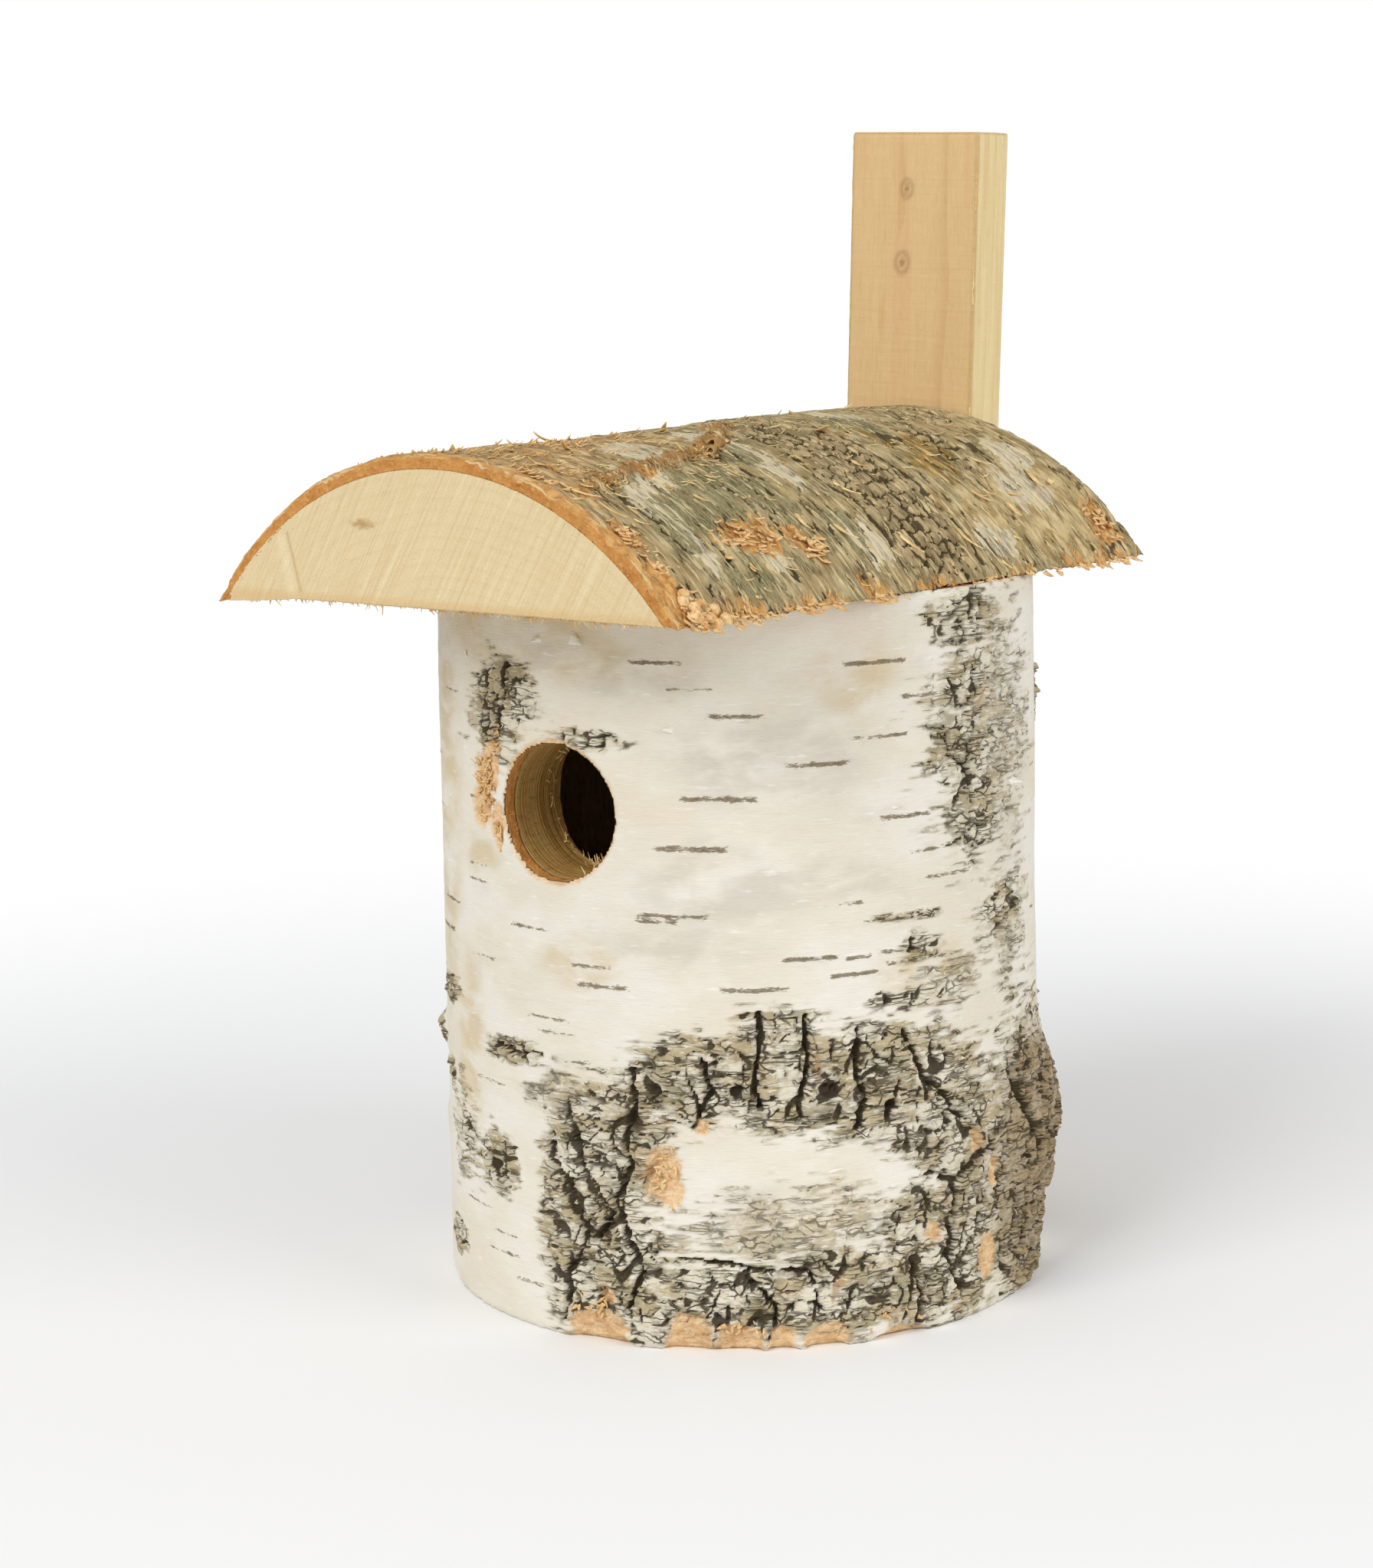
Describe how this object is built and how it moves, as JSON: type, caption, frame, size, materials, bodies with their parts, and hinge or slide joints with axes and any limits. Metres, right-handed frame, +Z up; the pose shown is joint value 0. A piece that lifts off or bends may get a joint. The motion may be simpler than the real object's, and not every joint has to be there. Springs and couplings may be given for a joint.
{
  "type": "birdhouse",
  "caption": "Nest box made from a bored birch log, with a round entrance, a half-round slab roof, a drop-out floor and a leaning batten behind it for hanging.",
  "frame": {"origin": "under the centre of the bounding box, on the plane that the log stands on", "axes": "+Z up along the log, -Y out through the front where the entrance is, +Y towards the batten"},
  "size_m": [0.1576, 0.2064, 0.299],
  "materials": {
    "birch_bark": "white birch bark with dark lenticels and corky fissures",
    "roof_bark": "old grey birch bark with lichen and torn patches",
    "log_wood": "bored birch wood, rough",
    "roof_wood": "sawn birch end grain",
    "batten_wood": "rough sawn softwood",
    "floor_wood": "sawn softwood board",
    "screw_steel": "zinc plated"
  },
  "bodies": {
    "house": {"log_wall": "log_wood", "log_bark": "birch_bark", "roof_slab": "roof_wood", "roof_bark": "roof_bark", "batten": "batten_wood", "batten_screw_1": "screw_steel", "batten_screw_2": "screw_steel", "batten_screw_3": "screw_steel", "roof_screw_1": "screw_steel", "roof_screw_2": "screw_steel"},
    "floor": {"floor_disc": "floor_wood", "floor_screw_1": "screw_steel", "floor_screw_2": "screw_steel", "floor_screw_3": "screw_steel"}
  },
  "joints": [
    {"name": "floor_drop", "type": "slide", "parent": "house", "child": "floor", "axis": [0, 0, -1], "range_m": [0, 0.06]}
  ]
}
